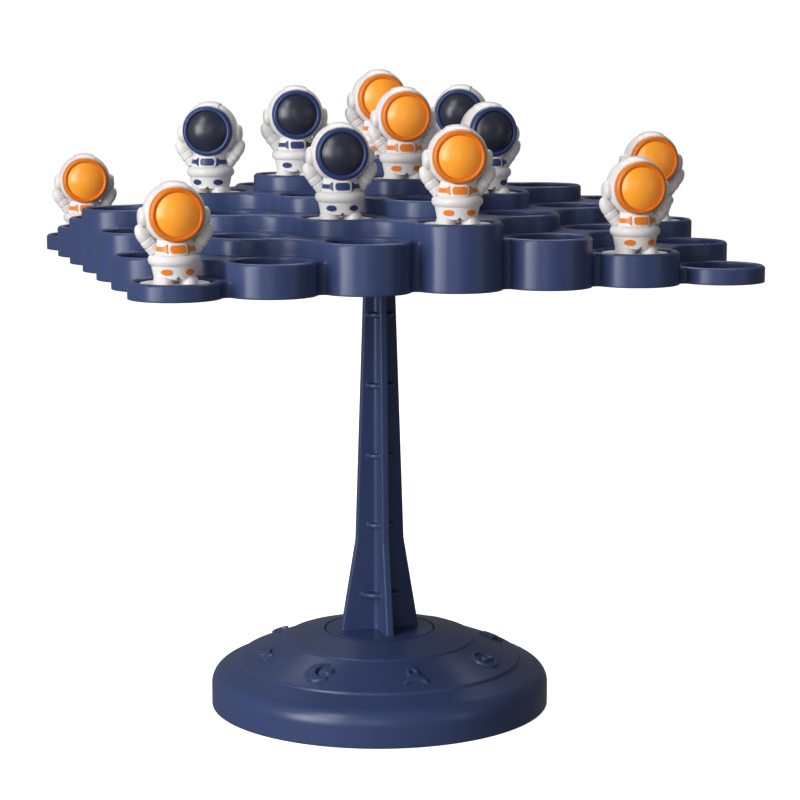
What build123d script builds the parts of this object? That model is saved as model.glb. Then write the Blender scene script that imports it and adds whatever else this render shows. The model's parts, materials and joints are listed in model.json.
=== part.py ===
from build123d import *
import math
import os

# A balancing tree game. A square crown of 49 round towers, stepped up to a peak in the middle,
# rocks on a ball at the top of a slim trunk that plugs into a round base. Twelve little
# spacemen in two colours stand in the towers' cups. Sizes are millimetres. The origin is the
# middle of the base's underside, +Z is up, and the crown's rows run along X.

# Crown
cells_across = 7
cell_pitch = 25.0
tower_gap = 0.8
step_height = 4.45
cup_radius = 10.25
cup_depth = 2.4
cup_floor = 1.2
crown_wall = 2.0
crown_rib = 1.8
crown_rib_lift = 0.8
tower_bevel = 0.55
lip_bevel = 0.45
valley_round = 1.5
crown_underside_height = 132.0

# Ball joint between the trunk and the crown
ball_radius = 4.0
ball_play = 0.05
ball_cover = 2.0
socket_radius = 6.5
socket_roof = 1.2
socket_play = 0.05
collar_wall = 1.6
cap_radius = 4.7
cap_height = 8.3
cap_round = 0.4
spigot_radius = 1.8
spigot_length = 4.5
spigot_play = 0.05
spigot_end_gap = 0.3
cap_seat_gap = 0.1

# Trunk
fin_thickness = 2.2
fin_foot_reach = 11.9
fin_knee_reach = 7.3
fin_top_reach = 4.1
fin_knee_height = 49.5
fin_corner_round = 1.2
fin_edge_round = 0.35
rung_count = 5
rung_low_height = 33.0
rung_spacing = 21.0
rung_low_radius = 6.1
rung_radius = 4.35
rung_thickness = 1.3
rung_round = 0.4
head_radius = 4.4
head_thickness = 1.5
foot_radius = 16.2
foot_thickness = 3.0
foot_round = 0.3
plug_radius = 9.0
plug_length = 11.0
plug_play = 0.15
plug_lead = 1.0
foot_groove = 0.35
foot_seat_gap = 0.1

# Base
base_radius = 50.5
base_corner_height = 9.4
shoulder_round = 5.0
ledge_radius = 42.3
ledge_height = 13.2
ledge_step = 0.6
ledge_foot_round = 0.25
ledge_round = 0.35
ring_radius = 28.4
ring_height = 19.3
ring_step = 0.35
ring_foot_round = 0.12
ring_round = 0.2
base_height = 22.2
base_wall = 2.4
base_rib = 1.6
base_rib_count = 8
cover_thickness = 2.0
cover_play = 0.2
cover_round = 0.4

# Raised pictures round the base, drawn in shares of one size
relief_count = 8
relief_rise = 1.0
relief_sink = 1.0
relief_crown_radius = 20.0
relief_round = 0.3
relief_corner_round = 0.35
relief_size = 5.0
panel_shares = (0.6, 0.56, 0.09, 0.82)
hub_share = 0.44
crescent_shares = (0.85, 0.66, 0.3)
crescent_place_shares = ((0.42, 0.2), (0.5, 0.22))
rocket_hull_shares = ((0.34, -0.6), (0.34, 0.15), (0.245, 0.6), (0, 0.95))
rocket_fin_shares = ((0.3, -0.18), (0.7, -0.52), (0.7, -0.8), (0.3, -0.6))
rocket_window_shares = (0.17, 0.15)
crater_shares = (0.85, 0.62, 0.24)
planet_shares = (0.55,)
planet_ring_shares = ((1.05, 0.32), (0.86, 0.17))
planet_tilt = 25
comet_shares = (0.46, 0.4, 1.0, 0.42)
big_star_shares = (0.9, 0.42)
pair_large_shares = (0.8, 0.26)
pair_small_shares = (0.4, 0.14)
pair_place_shares = ((-0.25, -0.1), (0.6, 0.45))

# Figures
disc_radius = 9.05
disc_thickness = 1.6
disc_round = 0.4
figure_seat_gap = 0.3
helmet_radius = 8.0
helmet_height = 17.5
bead_outer_radius = 7.1
bead_inner_radius = 5.6
bead_foot_reach = 3.2
bead_side_reach = 4.3
bead_crest_radius = 6.55
bead_crest_reach = 5.4
bead_lip_reach = 4.8
glass_bulge_radius = 8.2
glass_reach = 7.3
glass_edge_round = 0.35
band_width = 6.2
band_rise = 0.3
ear_radius = 2.6
ear_reach = 9.2
ear_depth = 2.6
ear_drop = 0.8
ear_round = 1.3
trouser_foot_radius = 5.3
trouser_foot_height = 1.3
trouser_top_radius = 5.95
trouser_height = 4.55
waist_radius = 6.75
chest_foot_radius = 5.6
chest_foot_height = 7.35
chest_top_radius = 4.7
chest_top_height = 10.5
neck_height = 12.5
shoe_radius = 2.65
shoe_length = 9.0
shoe_spacing = 6.3
shoe_reach = 1.2
arch_width = 1.0
arch_height = 1.9
arm_radius = 1.8
shoulder_reach = 4.9
shoulder_height = 8.1
cuff_reach = 7.4
cuff_height = 11.2
hand_radius = 1.8
hand_length = 6.0
hand_reach = 7.95
hand_height = 12.2
thumb_radius = 0.75
thumb_inset = 1.2
thumb_rise = 0.9
cuff_groove_radius = 0.22

# Coloured trim on the figures
badge_width = 3.9
badge_height = 2.0
badge_round = 0.7
badge_rise = 0.5
badge_frame = 0.5
badge_frame_rise = 0.35
badge_centre_height = 8.85
strap_rise = 0.2
strap_gap = 0.12
strap_wide = 2.5
strap_narrow = 1.15
strap_flare = 0.9
strap_length = 2.6
knee_width = 2.5
knee_height = 1.6
knee_centre_height = 3.1
knee_spacing = 6.0
knee_rise = 0.25

# How far tools run past what they cut
overrun = 1.0

# Which cells hold a figure, counted from the middle, and how far each is turned from the front
ORANGE = "orange"
NAVY = "navy"
figures = [
    (-3, 3, ORANGE, -4),
    (-3, -3, ORANGE, 0),
    (-2, 0, NAVY, -22),
    (-1, 0, NAVY, -8),
    (0, 0, ORANGE, -3),
    (0, -1, ORANGE, -5),
    (-1, -2, NAVY, -7),
    (1, 0, NAVY, -25),
    (0, -3, ORANGE, -10),
    (1, -1, NAVY, 4),
    (3, -1, ORANGE, -8),
    (2, -3, ORANGE, -4),
]

# Sizes that follow from the ones above
half_cells = cells_across // 2
tower_radius = (cell_pitch - tower_gap) / 2
crown_height = cells_across * step_height
crown_roof = cup_depth + cup_floor
well_radius = tower_radius - crown_wall
ceiling_height = crown_underside_height + crown_height - crown_roof
pivot_height = ceiling_height - socket_roof - ball_radius - ball_play
socket_height = ceiling_height - pivot_height - ball_cover
cap_top_height = pivot_height - ball_cover
cap_foot_height = cap_top_height - cap_height
head_top_height = cap_foot_height - cap_seat_gap
fin_top_height = head_top_height - head_thickness
recess_radius = foot_radius + foot_groove
recess_floor_height = base_height - foot_thickness - foot_seat_gap
plug_foot_height = base_height - foot_thickness - plug_length
bore_radius = plug_radius + plug_play

UP = (Align.CENTER, Align.CENTER, Align.MIN)
DOWN = (Align.CENTER, Align.CENTER, Align.MAX)


def spun(*lines):
    """Solid turned round Z from lines in the XZ plane, closed along the axis."""
    first, last = lines[0] @ 0, lines[-1] @ 1
    way_back = [last, Vector(0, last.Y), Vector(0, first.Y), first]
    closing = [Line(start, end) for start, end in zip(way_back, way_back[1:]) if start != end]
    return revolve(Plane.XZ * Face(Wire(list(lines) + closing)), Axis.Z)


def spun_band(low, high, rise):
    """Solid cone from one (radius, height) to another, wider by rise."""
    (low_radius, low_height), (high_radius, high_height) = low, high
    outline = Polyline(
        (0, low_height),
        (low_radius + rise, low_height),
        (high_radius + rise, high_height),
        (0, high_height),
        close=True,
    )
    return revolve(Plane.XZ * make_face(outline), Axis.Z)


def edge_cells(spread):
    """Cells (column, row) round the edge of the terrace that lies spread cells out, counterclockwise."""
    side = min(spread, half_cells)
    reach = spread - side
    quarter = [(side, row) for row in range(-reach, reach + 1)]
    quarter += [(side - step, reach + step) for step in range(1, side - reach)]
    if reach == side:
        quarter.pop()
    cells = []
    for _ in range(4):
        cells += quarter
        quarter = [(-row, column) for column, row in quarter]
    return cells


def hollow_circle(here, after, inset):
    """Centre and radius of the hollow arc that joins two neighbouring towers of one terrace."""
    run = after - here
    outward = Vector(run.Y, -run.X)
    middle = (here + after) / 2
    if min(abs(run.X), abs(run.Y)) > tower_gap:
        return middle + outward / 2, cell_pitch - tower_radius + inset
    reach = math.sqrt((tower_radius + valley_round) ** 2 - (cell_pitch / 2) ** 2)
    return middle + outward.normalized() * reach, valley_round + inset


def terrace_face(spread, inset=0):
    """Outline of one terrace: towers joined by hollow arcs that run round the lower cells."""
    radius = tower_radius - inset
    if spread == 0:
        return Circle(radius).face()
    centres = [Vector(column, row) * cell_pitch for column, row in edge_cells(spread)]
    leave, arrive, edges = [], [], []
    for here, after in zip(centres, centres[1:] + centres[:1]):
        centre, bend = hollow_circle(here, after, inset)
        leave.append(here + (centre - here).normalized() * radius)
        arrive.append(after + (centre - after).normalized() * radius)
        crest = centre + ((here + after) / 2 - centre).normalized() * bend
        edges.append(ThreePointArc(leave[-1], crest, arrive[-1]))
    for centre, start, end in zip(centres, arrive[-1:] + arrive[:-1], leave):
        first = math.atan2(start.Y - centre.Y, start.X - centre.X)
        last = math.atan2(end.Y - centre.Y, end.X - centre.X)
        half_turn = ((last - first) % (2 * math.pi)) / 2
        crest = centre + Vector(radius, 0).rotate(Axis.Z, math.degrees(first + half_turn))
        edges.append(ThreePointArc(start, crest, end))
    return Face(Wire(edges))


def cell_level(column, row):
    """Steps from the crown's underside to a cell's rim: 1 at the corners, most in the middle."""
    return cells_across - abs(column) - abs(row)


def cell_place(column, row):
    """Middle of a cell's rim, above the crown's underside."""
    return Pos(column * cell_pitch, row * cell_pitch, cell_level(column, row) * step_height)


def cup_tool():
    """Shape of the air in one cup, with a bevelled lip."""
    mouth_radius = cup_radius + lip_bevel
    return spun(
        Line((0, -cup_depth), (cup_radius, -cup_depth)),
        Line((cup_radius, -cup_depth), (cup_radius, -lip_bevel)),
        Line((cup_radius, -lip_bevel), (mouth_radius, 0)),
        Line((mouth_radius, 0), (mouth_radius, overrun)),
    )


def crown_hollow():
    """Air under the crown: a terraced hollow, less the well's wall and the cross of ribs."""
    hollow = Part() + [
        extrude(terrace_face(cells_across - level, crown_wall), amount=level * step_height - crown_roof)
        for level in range(2, cells_across + 1)
    ]
    wall_radius = well_radius + crown_rib
    wall = Cylinder(wall_radius, crown_height, align=UP) - Cylinder(well_radius, crown_height, align=UP)
    span = cells_across * cell_pitch
    cross = Box(span, crown_rib, crown_height, align=UP) + Box(crown_rib, span, crown_height, align=UP)
    cross -= Cylinder(well_radius + crown_rib / 2, crown_height, align=UP)
    return hollow - wall - Pos(0, 0, crown_rib_lift) * cross


def crown_tray():
    """The crown, one moulding: terraces, cups, the hollow underside and the socket's collar."""
    slabs = []
    for level in range(1, cells_across + 1):
        slab = extrude(terrace_face(cells_across - level), amount=level * step_height)
        slabs.append(chamfer(slab.edges().group_by(Axis.Z)[-1], tower_bevel))
    tray = Part() + slabs
    cup = cup_tool()
    span = range(-half_cells, half_cells + 1)
    tray -= [cell_place(column, row) * cup for column in span for row in span]
    tray -= crown_hollow()
    collar_bore = socket_radius + socket_play
    collar = Cylinder(collar_bore + collar_wall, socket_height, align=DOWN)
    collar -= Cylinder(collar_bore, socket_height, align=DOWN)
    tray += Pos(0, 0, crown_height - crown_roof) * collar
    return Pos(0, 0, crown_underside_height) * tray


def crown_socket():
    """Bush under the crown's peak with the round seat that rests on the ball."""
    bush = Pos(0, 0, ceiling_height) * Cylinder(socket_radius, socket_height, align=DOWN)
    return bush - Pos(0, 0, pivot_height) * Sphere(ball_radius + ball_play)


def pivot_ball():
    """Loose ball that the crown rocks on."""
    return Pos(0, 0, pivot_height) * Sphere(ball_radius)


def trunk_cap():
    """Turning cap on the trunk's spigot, with the lower seat for the ball."""
    cap = Pos(0, 0, cap_foot_height) * Cylinder(cap_radius, cap_height, align=UP)
    cap = fillet(cap.edges().group_by(Axis.Z)[0], cap_round)
    cap -= Pos(0, 0, pivot_height) * Sphere(ball_radius + ball_play)
    bore_depth = spigot_length + spigot_end_gap - cap_seat_gap
    return cap - Pos(0, 0, cap_foot_height) * Cylinder(spigot_radius + spigot_play, bore_depth, align=UP)


def trunk_fins():
    """Four tapering fins in a cross, flared below the knee."""
    half = Polyline(
        (0, base_height - foot_thickness / 2),
        (fin_foot_reach, base_height - foot_thickness / 2),
        (fin_foot_reach, base_height),
        (fin_knee_reach, fin_knee_height),
        (fin_top_reach, fin_top_height),
        (0, fin_top_height),
        close=True,
    )
    plate = extrude(Plane.XZ * make_face(half), amount=fin_thickness / 2, both=True)
    tip_edges = plate.edges().filter_by(lambda edge: edge.center().X > fin_top_reach / 2)
    tip_edges = tip_edges.filter_by(Axis.Y, reverse=True)
    tip_edges = tip_edges.filter_by(lambda edge: edge.center().Z > base_height)
    tip_edges = tip_edges.filter_by(lambda edge: edge.center().Z < fin_top_height - fin_edge_round)
    plate = fillet(tip_edges, fin_edge_round)
    fins = Part() + [Rot(0, 0, quarter * 90) * plate for quarter in range(4)]
    inner = fins.edges().filter_by(Axis.Z)
    inner = inner.filter_by(lambda edge: abs(edge.center().X) < fin_thickness)
    inner = inner.filter_by(lambda edge: abs(edge.center().Y) < fin_thickness)
    return fillet(inner, fin_corner_round)


def trunk():
    """Fins, round rungs, the head with its spigot, and the foot with the plug for the base."""
    body = trunk_fins()
    for step in range(rung_count):
        radius = rung_low_radius if step == 0 else rung_radius
        rung = Cylinder(radius, rung_thickness)
        rung = fillet(rung.edges().filter_by(GeomType.CIRCLE), rung_round)
        body += Pos(0, 0, rung_low_height + step * rung_spacing) * rung
    body += Pos(0, 0, fin_top_height) * Cylinder(head_radius, head_thickness, align=UP)
    body += Pos(0, 0, head_top_height) * Cylinder(spigot_radius, spigot_length, align=UP)
    foot = Cylinder(foot_radius, foot_thickness, align=DOWN)
    foot = fillet(foot.edges().group_by(Axis.Z)[-1], foot_round)
    plug = Pos(0, 0, -foot_thickness) * Cylinder(plug_radius, plug_length, align=DOWN)
    plug = chamfer(plug.edges().group_by(Axis.Z)[0], plug_lead)
    return body + Pos(0, 0, base_height) * (foot + plug)


def plateau_height(radius):
    """Height of the sloping ring that carries the raised pictures."""
    share = (ledge_radius - radius) / (ledge_radius - ring_radius)
    return ledge_height + ledge_step + share * (ring_height - ledge_height - ledge_step)


def base_body():
    """Outer form of the base: side, round shoulder, skirt, ledge, plateau, ring and top."""
    outline = FilletPolyline(
        (base_radius, 0),
        (base_radius, base_corner_height),
        (ledge_radius, ledge_height),
        (ledge_radius, ledge_height + ledge_step),
        (ring_radius, ring_height),
        (ring_radius, ring_height + ring_step),
        (recess_radius, base_height),
        radius=(shoulder_round, ledge_foot_round, ledge_round, ring_foot_round, ring_round),
    )
    return spun(*outline.edges())


def base_inside():
    """Air inside the base, less the tube that takes the trunk's plug and the ribs round it."""
    corner = (base_radius - base_wall, base_corner_height - base_wall / 2)
    bend = (ledge_radius - base_wall / 2, ledge_height - base_wall)
    top = (ring_radius - base_wall / 2, recess_floor_height - base_wall)
    inside = spun(Line((base_radius - base_wall, 0), corner), Line(corner, bend), Line(bend, top))
    tube = Pos(0, 0, cover_thickness + cover_play) * Cylinder(bore_radius + base_wall, base_height, align=UP)
    rib = Pos(0, -base_rib / 2, cover_thickness + cover_play) * Box(
        base_radius, base_rib, base_height, align=(Align.MIN, Align.MIN, Align.MIN)
    )
    ribs = [Rot(0, 0, turn * 360 / base_rib_count) * rib for turn in range(base_rib_count)]
    return inside - tube - ribs


def sized(shares):
    """Shares of the raised pictures' size as lengths."""
    return [share * relief_size for share in shares]


def sized_points(shares):
    """Pairs of shares as points."""
    return [Vector(*sized(pair)) for pair in shares]


def star_outline(points, shares):
    """Star with straight sides, from the shares of its tips' and its notches' radius."""
    outer, inner = sized(shares)
    corners = []
    for step in range(2 * points):
        reach = inner if step % 2 else outer
        corners.append(Vector(0, reach).rotate(Axis.Z, step * 180 / points))
    star = Sketch() + make_face(Polyline(*corners, close=True))
    return fillet(star.vertices(), relief_corner_round)


def satellite():
    """Round hub between two solar panels."""
    width, height, corner, distance = sized(panel_shares)
    panel = RectangleRounded(width, height, corner)
    return Circle(hub_share * relief_size) + Pos(distance, 0) * panel + Pos(-distance, 0) * panel


def crescent_moon():
    """Crescent with a small planet in its arms."""
    moon, bite, planet = sized(crescent_shares)
    bite_place, planet_place = sized_points(crescent_place_shares)
    return Circle(moon) - Pos(bite_place) * Circle(bite) + Pos(planet_place) * Circle(planet)


def rocket():
    """Pointed rocket with two fins and a round window."""
    foot, bend, cheek, nose = sized_points(rocket_hull_shares)
    hull = make_face(
        [Line((0, foot.Y), foot), Line(foot, bend), ThreePointArc(bend, cheek, nose), Line(nose, (0, foot.Y))]
    )
    side = hull + make_face(Polyline(*sized_points(rocket_fin_shares), close=True))
    window, lift = sized(rocket_window_shares)
    return side + mirror(side, Plane.YZ) - Pos(0, lift) * Circle(window)


def crater():
    """Crater seen from above: a raised rim round a small peak."""
    rim, floor, peak = sized(crater_shares)
    return Circle(rim) - Circle(floor) + Circle(peak)


def ringed_planet():
    """Planet with a tilted ring."""
    (planet,) = sized(planet_shares)
    outer, inner = sized_points(planet_ring_shares)
    ring = Ellipse(outer.X, outer.Y) - Ellipse(inner.X, inner.Y)
    body = Circle(planet) + ring
    return Rot(0, 0, planet_tilt) * fillet(body.vertices(), relief_corner_round)


def comet():
    """Round head with a tapering tail."""
    head, head_place, tail, tail_half = sized(comet_shares)
    outline = Polyline((-tail, 0), (head_place, tail_half), (head_place, -tail_half), close=True)
    body = Pos(head_place, 0) * Circle(head) + make_face(outline)
    return fillet(body.vertices(), relief_corner_round)


def big_star():
    """Five-pointed star."""
    return star_outline(5, big_star_shares)


def star_pair():
    """A large and a small four-pointed star."""
    large_place, small_place = sized_points(pair_place_shares)
    large, small = star_outline(4, pair_large_shares), star_outline(4, pair_small_shares)
    return Pos(large_place) * large + Pos(small_place) * small


def raised(picture):
    """A picture as a soft-edged cushion, laid on the plateau in front."""
    height = relief_sink + relief_rise
    cushion = extrude(picture, amount=height)
    cushion &= Pos(0, 0, height - relief_crown_radius) * Sphere(relief_crown_radius)
    rims = cushion.edges().filter_by(Axis.Z, reverse=True)
    rims = rims.filter_by(lambda edge: edge.center().Z > relief_sink / 2)
    cushion = fillet(rims, relief_round)
    slope = math.atan2(ring_height - ledge_height - ledge_step, ledge_radius - ring_radius)
    middle = (ledge_radius + ring_radius) / 2
    place = Pos(0, -middle, plateau_height(middle)) * Rot(math.degrees(slope), 0, 0)
    return place * Pos(0, 0, -relief_sink) * cushion


def base_reliefs():
    """Raised space pictures on the plateau, one every eighth of a turn."""
    pictures = [rocket, crater, big_star, comet, ringed_planet, star_pair, satellite, crescent_moon]
    turn = 360 / relief_count
    return [Rot(0, 0, index * turn) * raised(picture()) for index, picture in enumerate(pictures)]


def base_shell():
    """The base's moulding with its pictures, the trunk's recess and the socket below it."""
    shell = base_body() + base_reliefs() - base_inside()
    shell -= Pos(0, 0, recess_floor_height) * Cylinder(recess_radius, base_height, align=UP)
    bore_foot = plug_foot_height - foot_seat_gap
    shell -= Pos(0, 0, bore_foot) * Cylinder(bore_radius, base_height, align=UP)
    return shell


def base_cover():
    """Flat plate that closes the base, flush with its underside."""
    cover = Cylinder(base_radius - base_wall - cover_play, cover_thickness, align=UP)
    return fillet(cover.edges().group_by(Axis.Z)[0], cover_round)


def spheroid(radius, length):
    """Round body drawn out along Z."""
    half = Ellipse(radius, length / 2).face() & Pos(radius, 0) * Rectangle(2 * radius, 2 * length)
    return revolve(Plane.XZ * half, Axis.Z)


def both_sides(solid):
    """A solid that is alike front and back, and its copy on the figure's other side."""
    return [solid, Rot(0, 0, 180) * solid]


def mirrored(solid):
    """A solid and its mirror image across the figure's middle."""
    return [solid, mirror(solid, Plane.YZ)]


def figure_arm():
    """One raised arm: sleeve, mitten and thumb."""
    shoulder = Vector(shoulder_reach, 0, shoulder_height)
    cuff = Vector(cuff_reach, 0, cuff_height)
    hand = Vector(hand_reach, 0, hand_height)
    along = cuff - shoulder
    sleeve_plane = Plane(origin=shoulder, z_dir=along)
    sleeve = sleeve_plane * Cylinder(arm_radius, along.length, align=UP)
    cuff_ring = fillet(sleeve.edges().filter_by(GeomType.CIRCLE).sort_by(Axis.Z)[-1], arm_radius / 3)
    mitten = Plane(origin=hand, z_dir=(hand - cuff)) * spheroid(hand_radius, hand_length)
    thumb = Pos(hand_reach - thumb_inset, 0, hand_height + thumb_rise) * Sphere(thumb_radius)
    groove = Plane(origin=shoulder + along / 2, z_dir=along) * Torus(arm_radius, cuff_groove_radius)
    return cuff_ring - groove + mitten + thumb


def helmet():
    """Round helmet with a raised band over the top and a rounded disc on each ear."""
    ball = Sphere(helmet_radius)
    band = Sphere(helmet_radius + band_rise) & Pos(0, -bead_crest_reach, 0) * Box(
        band_width, 4 * helmet_radius, 2 * helmet_radius, align=(Align.CENTER, Align.MIN, Align.MIN)
    )
    ear = Cylinder(ear_radius, ear_depth, align=DOWN)
    ear = fillet(ear.edges().group_by(Axis.Z)[-1], ear_round)
    ear = Pos(ear_reach, 0, -ear_drop) * Rot(0, 90, 0) * ear
    return Pos(0, 0, helmet_height) * (Part() + ([ball, band] + both_sides(ear)))


def torso():
    """Trousers, round waist, jacket and neck in one turned form."""
    trouser_top = (trouser_top_radius, trouser_height)
    waist = (waist_radius, (trouser_height + chest_foot_height) / 2)
    chest_foot = (chest_foot_radius, chest_foot_height)
    chest_top = (chest_top_radius, chest_top_height)
    return spun(
        Line((trouser_foot_radius, trouser_foot_height), trouser_top),
        ThreePointArc(trouser_top, waist, chest_foot),
        Line(chest_foot, chest_top),
        Line(chest_top, (chest_top_radius, neck_height)),
    )


def chest_band(rise):
    """Solid as wide as the jacket and rise more."""
    return spun_band((chest_foot_radius, chest_foot_height), (chest_top_radius, chest_top_height), rise)


def seen_from_front(outline):
    """Solid through a figure's front half, from an outline drawn as seen from the front."""
    return extrude(Plane.XZ * outline, amount=disc_radius)


def badge():
    """Coloured panel on the chest, curved with it."""
    panel = RectangleRounded(badge_width, badge_height, badge_round)
    return seen_from_front(Pos(0, badge_centre_height) * panel) & (chest_band(badge_rise) - chest_band(0))


def badge_frame_solid():
    """White raised frame that the coloured panel sits in."""
    width, height = badge_width + 2 * badge_frame, badge_height + 2 * badge_frame
    frame = RectangleRounded(width, height, badge_round + badge_frame / 2)
    return (seen_from_front(Pos(0, badge_centre_height) * frame) & chest_band(badge_frame_rise)) - badge()


def strap():
    """Coloured strap that flares towards the badge's frame."""
    near = badge_width / 2 + badge_frame + strap_gap
    outline = Polyline(
        (near, strap_wide / 2),
        (near + strap_flare, strap_narrow / 2),
        (near + strap_length, strap_narrow / 2),
        (near + strap_length, -strap_narrow / 2),
        (near + strap_flare, -strap_narrow / 2),
        (near, -strap_wide / 2),
        close=True,
    )
    outline = make_face(outline)
    return seen_from_front(Pos(0, badge_centre_height) * outline) & (chest_band(strap_rise) - chest_band(0))


def knee_patch():
    """Oval patch on one knee."""
    patch = Pos(knee_spacing / 2, knee_centre_height) * Ellipse(knee_width / 2, knee_height / 2)
    low, high = (trouser_foot_radius, trouser_foot_height), (trouser_top_radius, trouser_height)
    return seen_from_front(patch) & (spun_band(low, high, knee_rise) - spun_band(low, high, 0))


def facing_forward(solid):
    """A solid turned round Z, laid so that +Z points out of the helmet's front."""
    return Pos(0, 0, helmet_height) * Rot(90, 0, 0) * solid


def visor_bead():
    """Rounded ring that frames the visor and dips towards it."""
    inner_foot, outer_foot = (bead_inner_radius, bead_foot_reach), (bead_outer_radius, bead_foot_reach)
    side, crest = (bead_outer_radius, bead_side_reach), (bead_crest_radius, bead_crest_reach)
    lip = (bead_inner_radius, bead_lip_reach)
    shoulder = TangentArc(side, crest, tangent=(0, 1))
    slope = TangentArc(crest, lip, tangent=shoulder % 1)
    outline = [Line(inner_foot, outer_foot), Line(outer_foot, side), shoulder, slope, Line(lip, inner_foot)]
    return facing_forward(revolve(Plane.XZ * make_face(outline), Axis.Z))


def visor_glass():
    """Domed visor that fills the ring."""
    side = Pos(0, bead_foot_reach) * Rectangle(bead_inner_radius, helmet_radius, align=(Align.MIN, Align.MIN))
    half = side & Pos(0, glass_reach - glass_bulge_radius) * Circle(glass_bulge_radius)
    rim = half.vertices().group_by(Axis.X)[-1].sort_by(Axis.Y)[-1]
    return facing_forward(revolve(Plane.XZ * fillet(rim, glass_edge_round), Axis.Z))


def visor_pocket():
    """Round pocket in the helmet that holds the ring and the visor."""
    return facing_forward(Pos(0, 0, bead_foot_reach) * Cylinder(bead_outer_radius, helmet_radius, align=UP))


def figure_suit(arms):
    """White body of a figure on its disc, open where the visor sits."""
    disc = Cylinder(disc_radius, disc_thickness, align=DOWN)
    disc = fillet(disc.edges().filter_by(GeomType.CIRCLE), disc_round)
    shoe = Pos(0, -shoe_reach, 0) * Rot(90, 0, 0) * spheroid(shoe_radius, shoe_length)
    shoe &= Box(2 * disc_radius, 2 * disc_radius, disc_radius, align=UP)
    shoes = [Pos(side * shoe_spacing / 2, 0, 0) * shoe for side in (-1, 1)]
    suit = Part() + ([disc, torso(), helmet(), badge_frame_solid()] + shoes + arms)
    arch = Pos(0, arch_height - arch_width / 2) * Circle(arch_width / 2)
    arch += Rectangle(arch_width, arch_height - arch_width / 2, align=(Align.CENTER, Align.MIN))
    suit -= extrude(Plane.XZ * arch, amount=disc_radius, both=True)
    return suit - visor_pocket()


def figure_trim(arms):
    """Coloured badge, straps and knee patches."""
    return Compound(children=[badge()] + mirrored(strap() - arms[0]) + mirrored(knee_patch()))


def write_figures():
    """Every figure, in its own cell and turned its own way."""
    arms = both_sides(figure_arm())
    pieces = {
        "suit": figure_suit(arms),
        "visor_bead": visor_bead(),
        "visor": visor_glass(),
        "trim": figure_trim(arms),
    }
    lift = figure_seat_gap + disc_thickness - cup_depth
    for number, (column, row, _, turn) in enumerate(figures, start=1):
        stand = Pos(0, 0, crown_underside_height + lift) * cell_place(column, row) * Rot(0, 0, turn)
        for name, piece in pieces.items():
            export_step(stand * piece, f"parts/figure_{number:02d}_{name}.step")


os.makedirs("parts", exist_ok=True)
export_step(base_shell(), "parts/base_shell.step")
export_step(base_cover(), "parts/base_cover.step")
export_step(trunk(), "parts/trunk.step")
export_step(trunk_cap(), "parts/trunk_cap.step")
export_step(pivot_ball(), "parts/pivot_ball.step")
export_step(crown_socket(), "parts/crown_socket.step")
export_step(crown_tray(), "parts/crown_tray.step")
write_figures()
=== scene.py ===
"""Looks of a balancing tree game: navy mouldings, white spacemen and their coloured visors."""

import json
import math

import bpy
from bpy.props import FloatProperty, FloatVectorProperty, PointerProperty
from bpy.types import Operator, Panel, PropertyGroup
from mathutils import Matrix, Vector

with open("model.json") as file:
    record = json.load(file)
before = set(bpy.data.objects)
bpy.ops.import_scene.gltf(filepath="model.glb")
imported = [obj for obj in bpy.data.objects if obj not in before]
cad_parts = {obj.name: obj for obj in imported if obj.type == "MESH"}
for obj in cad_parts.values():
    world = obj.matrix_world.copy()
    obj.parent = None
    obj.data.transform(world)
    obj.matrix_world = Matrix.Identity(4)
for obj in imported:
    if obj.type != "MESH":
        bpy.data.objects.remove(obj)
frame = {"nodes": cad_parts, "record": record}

bl_info = {
    "name": "Balancing tree game looks",
    "version": (1, 0, 0),
    "blender": (4, 5, 0),
    "location": "3D View > Sidebar > Balancing game",
    "description": "Finishes and stage of a balancing tree game with spaceman figures",
    "category": "Object",
}

MM = 0.001
FIGURE_COUNT = sum(name.endswith("_suit") for name in frame["nodes"])
MAKERS = ("crown", "trunk", "base", "suits", "visors", "trims", "stage")

# The Mix node's sockets when it mixes colours
MIX_SHARE, MIX_FIRST, MIX_SECOND, MIX_RESULT = 0, 6, 7, 2

NOISE_MIDDLE = 0.5
PLASTIC_IOR = 1.46
BEVEL_SAMPLES = 6
# Part of the colour's variation that comes in clouds, the rest is grain
CLOUD_SHARE = 0.7
# How much the grain makes the gloss uneven, beside the rubbed spots
GRAIN_GLOSS = 0.5
# Painted shade: how much darker than the crown the socket and the ball under it are made
SOCKET_PAINTED_SHADE = 0.6
SOCKET_POLISH = 0.4
VISOR_POLISH = 0.2
VISOR_POLISH_ROUGHNESS = 0.3

FLOOR_ROUGHNESS = 0.9
FLOOR_SIDES = 96
FLOOR_BEND_STEPS = 12
FLOOR_PATCH_SIZE = 0.5
FLOOR_PATCH_SHADE = 0.99
LAMP_DISTANCE = 1.1
LAMP_AIM_HEIGHT = 0.12
SENSOR_WIDTH = 36
NEAREST_SEEN, FARTHEST_SEEN = 0.01, 20


def length(text, default, note):
    """Property for a size in metres."""
    settings = {"min": 0, "precision": 5, "subtype": "DISTANCE", "unit": "LENGTH"}
    return FloatProperty(name=text, description=note, default=default, **settings)


def share(text, default, note):
    """Property for a share from 0 to 1."""
    return FloatProperty(name=text, description=note, default=default, min=0, max=1, subtype="FACTOR")


def angle(text, default, note):
    """Property for an angle, with its default in degrees."""
    settings = {"default": math.radians(default), "subtype": "ANGLE", "unit": "ROTATION"}
    return FloatProperty(name=text, description=note, **settings)


def amount(text, default, note):
    """Property for a plain number."""
    return FloatProperty(name=text, description=note, default=default, min=0)


def colour(text, default, note):
    """Property for a linear colour."""
    settings = {"min": 0, "max": 1, "size": 3, "subtype": "COLOR"}
    return FloatVectorProperty(name=text, description=note, default=default, **settings)


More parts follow.
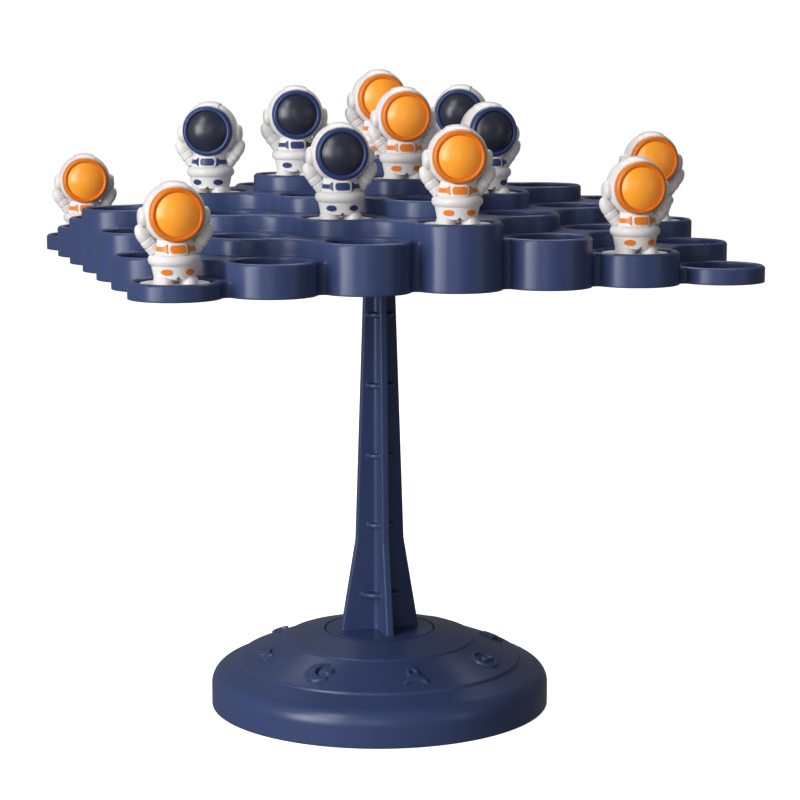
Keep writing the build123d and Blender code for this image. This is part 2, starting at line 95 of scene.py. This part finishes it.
class Value:
    """A shader socket, or a number, that Python's operators can work on."""

    def __init__(self, finish, source):
        self.finish = finish
        self.source = source

    def maths(self, operation, *others):
        """Result of a Math node on this value and others."""
        inputs = dict(enumerate((self, *others)))
        node = self.finish.node("ShaderNodeMath", {"operation": operation}, inputs)
        return Value(self.finish, node.outputs[0])

    def turned(self, operation, other):
        """Result of a Math node with the other value first."""
        return Value(self.finish, other).maths(operation, self)

    def __add__(self, other):
        return self.maths("ADD", other)

    def __radd__(self, other):
        return self.turned("ADD", other)

    def __sub__(self, other):
        return self.maths("SUBTRACT", other)

    def __rsub__(self, other):
        return self.turned("SUBTRACT", other)

    def __mul__(self, other):
        return self.maths("MULTIPLY", other)

    def __rmul__(self, other):
        return self.turned("MULTIPLY", other)


class Finish:
    """One material. Numbers are set on its shader, and what varies over a surface is linked."""

    def __init__(self, name, **constants):
        self.material = bpy.data.materials.new(name)
        self.material.use_nodes = True
        self.tree = self.material.node_tree
        self.tree.nodes.clear()
        self.shader = self.node("ShaderNodeBsdfPrincipled", {}, constants)
        output = self.node("ShaderNodeOutputMaterial", {}, {})
        self.tree.links.new(self.shader.outputs[0], output.inputs[0])
        self.place = self.node("ShaderNodeTexCoord", {}, {}).outputs["Object"]

    def node(self, kind, settings, values):
        """Adds a node: its settings first, then a number or a link for each socket named or numbered."""
        node = self.tree.nodes.new(kind)
        for name, setting in settings.items():
            setattr(node, name, setting)
        for name, value in values.items():
            source = value.source if isinstance(value, Value) else value
            if isinstance(source, bpy.types.NodeSocket):
                self.tree.links.new(source, node.inputs[name])
            else:
                node.inputs[name].default_value = source
        return node

    def noise(self, size, detail=2):
        """Noise from 0 to 1 with blobs about size metres across."""
        values = {"Vector": self.place, "Scale": 1 / size, "Detail": detail}
        return Value(self, self.node("ShaderNodeTexNoise", {}, values).outputs[0])

    def between(self, part, first, second):
        """Colour that runs from the first to the second as part goes from 0 to 1."""
        settings = {"data_type": "RGBA", "clamp_factor": True}
        values = {MIX_SHARE: part, MIX_FIRST: (*first, 1), MIX_SECOND: (*second, 1)}
        return self.node("ShaderNodeMix", settings, values).outputs[MIX_RESULT]

    def softened(self, radius):
        """Normals that turn smoothly over edges, as if these were rounded by the radius."""
        return self.node("ShaderNodeBevel", {"samples": BEVEL_SAMPLES}, {"Radius": radius}).outputs[0]

    def bump(self, height, distance, below):
        """Relief of the given depth in metres, over the normals below it."""
        values = {"Height": height, "Distance": distance, "Normal": below}
        return self.node("ShaderNodeBump", {}, values).outputs[0]

    def drive(self, **links):
        """Links what varies over the surface to the shader's sockets."""
        for name, value in links.items():
            source = value.source if isinstance(value, Value) else value
            self.tree.links.new(source, self.shader.inputs[name.replace("_", " ")])
        return self.material


def shaded(tint, factor):
    """A colour made lighter or darker."""
    return tuple(min(1.0, part * factor) for part in tint)


def moulded(name, tint, look, **constants):
    """Injection-moulded plastic: eroded grain, slight waves where it cooled, and uneven satin."""
    finish = Finish(name, **{"IOR": PLASTIC_IOR, "Specular IOR Level": look.sheen, **constants})
    cloud = finish.noise(look.wave_size * 2, detail=3)
    grain = finish.noise(look.grain_size, detail=4)
    rub = finish.noise(look.wave_size / 2, detail=5)
    dark, light = shaded(tint, 1 - look.variation), shaded(tint, 1 + look.variation)
    tone = finish.between(cloud * CLOUD_SHARE + grain * (1 - CLOUD_SHARE), dark, light)
    swell = finish.noise(look.wave_size, detail=1)
    waves = finish.bump(swell, look.wave_depth, finish.softened(look.edge_radius))
    relief = finish.bump(grain, look.grain_depth, waves)
    rubbed = (rub - NOISE_MIDDLE) * look.rub
    grained = (grain - NOISE_MIDDLE) * look.rub * GRAIN_GLOSS
    rough = look.roughness + rubbed + grained
    return finish.drive(Base_Color=tone, Roughness=rough, Normal=relief)


def dress(material, *names):
    """Gives CAD nodes a material in place of their own."""
    for name in names:
        slots = frame["nodes"][name].data.materials
        slots.clear()
        slots.append(material)


def figure_nodes(piece, colour_name=None):
    """Names of one kind of piece on all the figures, or on those of one colour."""
    slots = {part["node"]: part["material_slot"] for part in frame["record"]["subparts"]}
    names = [f"figure_{number:02d}_{piece}" for number in range(1, FIGURE_COUNT + 1)]
    return [name for name in names if colour_name is None or slots[name].startswith(colour_name)]


class NavyLook(PropertyGroup):
    """Navy plastic of the crown, the trunk and the base."""

    tint: colour("Colour", (0.041, 0.062, 0.158), "Navy of the mouldings")
    roughness: share("Roughness", 0.29, "How matt the plastic is")
    sheen: share("Sheen", 0.43, "How strongly the plastic reflects")
    edge_radius: length("Edge radius", 0.8 * MM, "How softly the mouldings' edges turn")
    rub: share("Uneven gloss", 0.06, "How much the gloss varies over the surface")
    variation: share("Colour variation", 0.05, "How much the colour varies over the surface")
    grain_size: length("Grain size", 0.35 * MM, "Size of the mould's eroded grain")
    grain_depth: length("Grain depth", 0.006 * MM, "Depth of the mould's eroded grain")
    wave_size: length("Wave size", 22 * MM, "Distance between the slight waves left by cooling")
    wave_depth: length("Wave depth", 0.03 * MM, "Depth of the slight waves left by cooling")


class SuitLook(PropertyGroup):
    """White plastic of the spacemen."""

    tint: colour("Colour", (0.78, 0.755, 0.745), "White of the suits")
    roughness: share("Roughness", 0.34, "How matt the plastic is")
    sheen: share("Sheen", 0.4, "How strongly the plastic reflects")
    edge_radius: length("Edge radius", 0.2 * MM, "How softly the suits' edges turn")
    rub: share("Uneven gloss", 0.06, "How much the gloss varies over the surface")
    variation: share("Colour variation", 0.02, "How much the colour varies over the surface")
    grain_size: length("Grain size", 0.3 * MM, "Size of the mould's grain")
    grain_depth: length("Grain depth", 0.004 * MM, "Depth of the mould's grain")
    wave_size: length("Wave size", 6 * MM, "Distance between the slight waves left by cooling")
    wave_depth: length("Wave depth", 0.02 * MM, "Depth of the slight waves left by cooling")


class VisorLook(PropertyGroup):
    """Visors and the coloured parts round them."""

    orange: colour("Orange visor", (0.85, 0.365, 0.032), "Colour of the orange visors")
    orange_trim: colour("Orange trim", (0.78, 0.205, 0.016), "Orange of the rings, straps and patches")
    # Painted light: the orange visors get an emission glow of this strength and reddish colour, though
    # they are no lamp
    orange_painted_glow: share("Orange glow", 0.25, "How much light the orange visors let through")
    painted_glow_tint: colour("Glow colour", (1.0, 0.19, 0.016), "Colour of that light")
    navy: colour("Navy visor", (0.026, 0.029, 0.048), "Colour of the navy visors")
    navy_trim: colour("Navy trim", (0.028, 0.052, 0.160), "Navy of the rings, straps and patches")
    roughness: share("Roughness", 0.30, "How matt the coloured parts are")
    sheen: share("Sheen", 0.45, "How strongly the coloured parts reflect")
    edge_radius: length("Edge radius", 0.15 * MM, "How softly the coloured parts' edges turn")
    rub: share("Uneven gloss", 0.05, "How much the gloss varies over the surface")
    variation: share("Colour variation", 0.03, "How much the colour varies over the surface")
    grain_size: length("Grain size", 0.25 * MM, "Size of the surface's fine grain")
    grain_depth: length("Grain depth", 0.002 * MM, "Depth of the surface's fine grain")
    wave_size: length("Wave size", 5 * MM, "Distance between slight waves")
    wave_depth: length("Wave depth", 0.01 * MM, "Depth of slight waves")


class StageLook(PropertyGroup):
    """Floor, light and camera."""

    azimuth: angle("Azimuth", -16.33, "Side that the camera stands on")
    dip: angle("Dip", 8.864, "How far the camera looks down")
    distance: length("Distance", 0.6708, "Camera's distance along the ground")
    side_step: length("Side step", 0.00614, "How far the camera stands to the right")
    height: length("Height", 0.19595, "Camera's height over the table")
    lens: amount("Lens", 103.05, "Focal length in millimetres on a 36 mm sensor")
    floor_tint: colour("Floor", (0.85, 0.85, 0.85), "Pale floor")
    floor_glow: amount("Floor glow", 0.86, "Light that the floor adds to its own")
    floor_radius: length("Floor radius", 2.0, "Where the floor starts to curve up")
    daylight: amount("Daylight", 0.13, "Strength of the even light all round")
    key_power: amount("Key", 6.3, "Power of the tall light at the front left in watts")
    key_top_power: amount("Key top", 3.2, "Power of the light over the key in watts")
    front_power: amount("Front box", 1.0, "Power of the light beside the camera in watts")
    right_power: amount("Right strip", 0.45, "Power of the faint light on the right in watts")
    back_power: amount("Back box", 6.0, "Power of the light high up behind in watts")


class LookOperator(Operator):
    """Base of the operators that dress one group of pieces."""

    bl_options = {"REGISTER", "UNDO"}

    def execute(self, context):
        self.make(context.scene)
        return {"FINISHED"}


class TREEGAME_OT_crown(LookOperator):
    """Gives the crown its satin navy plastic, and the socket under it a polished one, darkened as
    painted shade
    """

    bl_idname = "treegame.crown"
    bl_label = "Dress the crown"

    def make(self, scene):
        look = scene.treegame_navy
        dress(moulded("crown_navy", look.tint, look), "crown_tray")
        polish = {"Coat Weight": SOCKET_POLISH}
        # Painted shade: the socket and the ball under the crown get the crown's navy made darker
        socket = moulded("socket_navy_painted_shade", shaded(look.tint, SOCKET_PAINTED_SHADE), look, **polish)
        dress(socket, "crown_socket", "pivot_ball")


class TREEGAME_OT_trunk(LookOperator):
    """Gives the trunk and its turning cap their navy plastic"""

    bl_idname = "treegame.trunk"
    bl_label = "Dress the trunk"

    def make(self, scene):
        look = scene.treegame_navy
        dress(moulded("trunk_navy", look.tint, look), "trunk", "trunk_cap")


class TREEGAME_OT_base(LookOperator):
    """Gives the base its navy plastic"""

    bl_idname = "treegame.base"
    bl_label = "Dress the base"

    def make(self, scene):
        look = scene.treegame_navy
        dress(moulded("base_navy", look.tint, look), "base_shell", "base_cover")


class TREEGAME_OT_suits(LookOperator):
    """Gives the spacemen their white suits"""

    bl_idname = "treegame.suits"
    bl_label = "Dress the suits"

    def make(self, scene):
        look = scene.treegame_suit
        dress(moulded("suit_white", look.tint, look), *figure_nodes("suit"))


class TREEGAME_OT_visors(LookOperator):
    """Gives the visors and their rings their orange or navy gloss, and the orange visors a painted glow
    """

    bl_idname = "treegame.visors"
    bl_label = "Dress the visors"

    def make(self, scene):
        look = scene.treegame_visor
        polish = {"Coat Weight": VISOR_POLISH, "Coat Roughness": VISOR_POLISH_ROUGHNESS}
        kinds = (
            ("orange", look.orange, look.orange_trim, look.orange_painted_glow),
            ("navy", look.navy, look.navy_trim, 0),
        )
        for name, glass, ring, glow in kinds:
            # Painted light: an emission glow on the orange visors, though they are no lamp; the navy
            # visors get none
            light = {"Emission Color": (*look.painted_glow_tint, 1), "Emission Strength": glow}
            visor = moulded(f"{name}_visor", glass, look, **polish, **light)
            dress(visor, *figure_nodes("visor", name))
            dress(moulded(f"{name}_ring", ring, look), *figure_nodes("visor_bead", name))


class TREEGAME_OT_trims(LookOperator):
    """Gives the badges, straps and knee patches their colour"""

    bl_idname = "treegame.trims"
    bl_label = "Dress the trims"

    def make(self, scene):
        look = scene.treegame_visor
        for name, tint in (("orange", look.orange_trim), ("navy", look.navy_trim)):
            dress(moulded(f"{name}_trim", tint, look), *figure_nodes("trim", name))


class TREEGAME_OT_stage(LookOperator):
    """Lays the pale floor, hangs the soft lights and sets up the camera"""

    bl_idname = "treegame.stage"
    bl_label = "Set the stage"

    def make(self, scene):
        look = scene.treegame_stage
        self.lay_floor(scene, look)
        self.light_all_round(scene, look)
        self.hang_light(scene, "key_left", -50, 8, (0.3, 0.6), look.key_power)
        self.hang_light(scene, "key_right", -35, 8, (0.3, 0.6), look.key_power / 2)
        self.hang_light(scene, "key_top", -40, 38, (0.3, 0.5), look.key_top_power)
        self.hang_light(scene, "front_box", -5, 10, (0.4, 0.6), look.front_power)
        self.hang_light(scene, "right_strip", 55, 10, (0.3, 0.6), look.right_power)
        self.hang_light(scene, "back_box", 180, 55, (0.8, 0.5), look.back_power)
        self.aim_camera(scene, look)
        scene.view_settings.view_transform = "Standard"

    def lay_floor(self, scene, look):
        """A round floor that curves up into a wall on every side, seen by the camera alone."""
        flat = wall = look.floor_radius
        bend = look.floor_radius / 3
        curve = []
        for step in range(FLOOR_BEND_STEPS + 1):
            turn = math.radians(90) * step / FLOOR_BEND_STEPS
            curve.append((flat + bend * math.sin(turn), bend * (1 - math.cos(turn))))
        curve.append((flat + bend, bend + wall))
        sides = FLOOR_SIDES
        points = [(0, 0, 0)]
        for radius, height in curve:
            for side in range(sides):
                turn = math.tau * side / sides
                points.append((radius * math.cos(turn), radius * math.sin(turn), height))
        faces = [(0, 1 + side, 1 + (side + 1) % sides) for side in range(sides)]
        for row in range(len(curve) - 1):
            start = 1 + row * sides
            above = start + sides
            for side in range(sides):
                after = (side + 1) % sides
                faces.append((start + side, above + side, above + after, start + after))
        mesh = bpy.data.meshes.new("floor")
        mesh.from_pydata(points, [], faces)
        mesh.shade_smooth()
        floor = bpy.data.objects.new("floor", mesh)
        scene.collection.objects.link(floor)
        floor.visible_diffuse = floor.visible_glossy = False
        light = {"Emission Color": (1, 1, 1, 1), "Emission Strength": look.floor_glow}
        finish = Finish("floor_matt", **{"Roughness": FLOOR_ROUGHNESS, "Specular IOR Level": 0, **light})
        patch = shaded(look.floor_tint, FLOOR_PATCH_SHADE)
        tone = finish.between(finish.noise(FLOOR_PATCH_SIZE), patch, look.floor_tint)
        mesh.materials.append(finish.drive(Base_Color=tone))

    def light_all_round(self, scene, look):
        """Faint even light from every side."""
        world = bpy.data.worlds.new("daylight")
        world.use_nodes = True
        back = world.node_tree.nodes["Background"]
        back.inputs["Color"].default_value = (1, 1, 1, 1)
        back.inputs["Strength"].default_value = look.daylight
        scene.world = world

    def hang_light(self, scene, name, side, elevation, size, power):
        """A soft rectangle of light, its size in metres, its side and elevation in degrees."""
        lamp = bpy.data.lights.new(name, "AREA")
        lamp.shape, lamp.energy = "RECTANGLE", power
        lamp.size, lamp.size_y = size
        light = bpy.data.objects.new(name, lamp)
        scene.collection.objects.link(light)
        turn = scene.treegame_stage.azimuth + math.radians(side)
        lift = math.radians(elevation)
        level = math.cos(lift)
        away = Vector((math.sin(turn) * level, -math.cos(turn) * level, math.sin(lift)))
        light.location = Vector((0, 0, LAMP_AIM_HEIGHT)) + away * LAMP_DISTANCE
        light.rotation_euler = away.to_track_quat("Z", "Y").to_euler()
        light.visible_camera = False

    def aim_camera(self, scene, look):
        """The camera at the height and side of the picture, looking slightly down."""
        turn = -look.azimuth
        right = Vector((math.cos(turn), -math.sin(turn), 0))
        away = Vector((math.sin(turn), math.cos(turn), 0))
        data = bpy.data.cameras.new("camera")
        data.sensor_width, data.lens = SENSOR_WIDTH, look.lens
        data.clip_start, data.clip_end = NEAREST_SEEN, FARTHEST_SEEN
        camera = bpy.data.objects.new("camera", data)
        scene.collection.objects.link(camera)
        camera.location = right * look.side_step - away * look.distance + Vector((0, 0, look.height))
        aim = away * math.cos(look.dip) - Vector((0, 0, math.sin(look.dip)))
        camera.rotation_euler = aim.to_track_quat("-Z", "Y").to_euler()
        scene.camera = camera


class TREEGAME_PT_looks(Panel):
    """Panel that lists the looks"""

    bl_idname = "TREEGAME_PT_looks"
    bl_label = "Balancing game"
    bl_space_type = "VIEW_3D"
    bl_region_type = "UI"
    bl_category = "Balancing game"

    def draw(self, context):
        for maker in MAKERS:
            self.layout.operator(f"treegame.{maker}")


LOOKS = {
    "treegame_navy": NavyLook,
    "treegame_suit": SuitLook,
    "treegame_visor": VisorLook,
    "treegame_stage": StageLook,
}
OPERATORS = (
    TREEGAME_OT_crown,
    TREEGAME_OT_trunk,
    TREEGAME_OT_base,
    TREEGAME_OT_suits,
    TREEGAME_OT_visors,
    TREEGAME_OT_trims,
    TREEGAME_OT_stage,
)


def register():
    """Adds the looks, the operators and the panel to Blender."""
    for group in LOOKS.values():
        bpy.utils.register_class(group)
    for name, group in LOOKS.items():
        setattr(bpy.types.Scene, name, PointerProperty(type=group))
    for item in (*OPERATORS, TREEGAME_PT_looks):
        bpy.utils.register_class(item)


def unregister():
    """Takes them out again."""
    for item in (TREEGAME_PT_looks, *reversed(OPERATORS)):
        bpy.utils.unregister_class(item)
    for name, group in LOOKS.items():
        delattr(bpy.types.Scene, name)
        bpy.utils.unregister_class(group)


def main():
    """Dresses every piece and sets the stage."""
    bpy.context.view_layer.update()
    register()
    for maker in MAKERS:
        getattr(bpy.ops.treegame, maker)()


if __name__ == "__main__":
    main()
